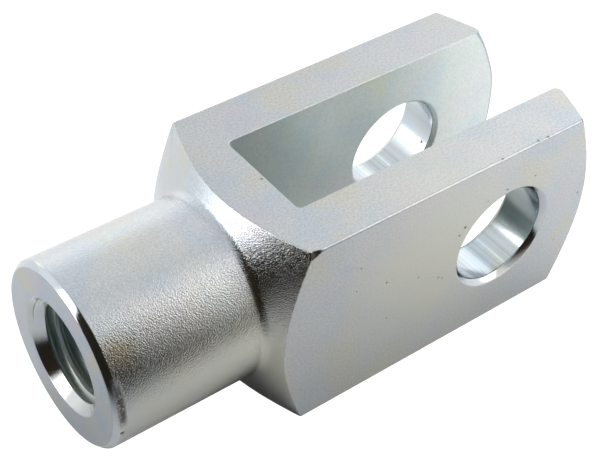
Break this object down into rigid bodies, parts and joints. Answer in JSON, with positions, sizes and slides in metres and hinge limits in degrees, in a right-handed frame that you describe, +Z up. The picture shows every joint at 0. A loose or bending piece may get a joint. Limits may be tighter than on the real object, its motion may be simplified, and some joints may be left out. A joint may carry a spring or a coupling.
{
  "type": "clevis",
  "caption": "Fork-head clevis: a square block with a milled slot, a cross bore for a pin and a round shank with an internal thread.",
  "frame": {"origin": "centre of the pin bore, on the shank's axis, midway between the two ears", "axes": "+X along the shank's axis towards the open mouth of the fork, +Y along the pin, +Z up out of the slot"},
  "size_m": [0.1052, 0.04, 0.04],
  "materials": {
    "zinc_plate": "pale zinc plate, satin on the flats and grainy on the turned shank"
  },
  "bodies": {
    "root": {"clevis": "zinc_plate"}
  },
  "joints": []
}
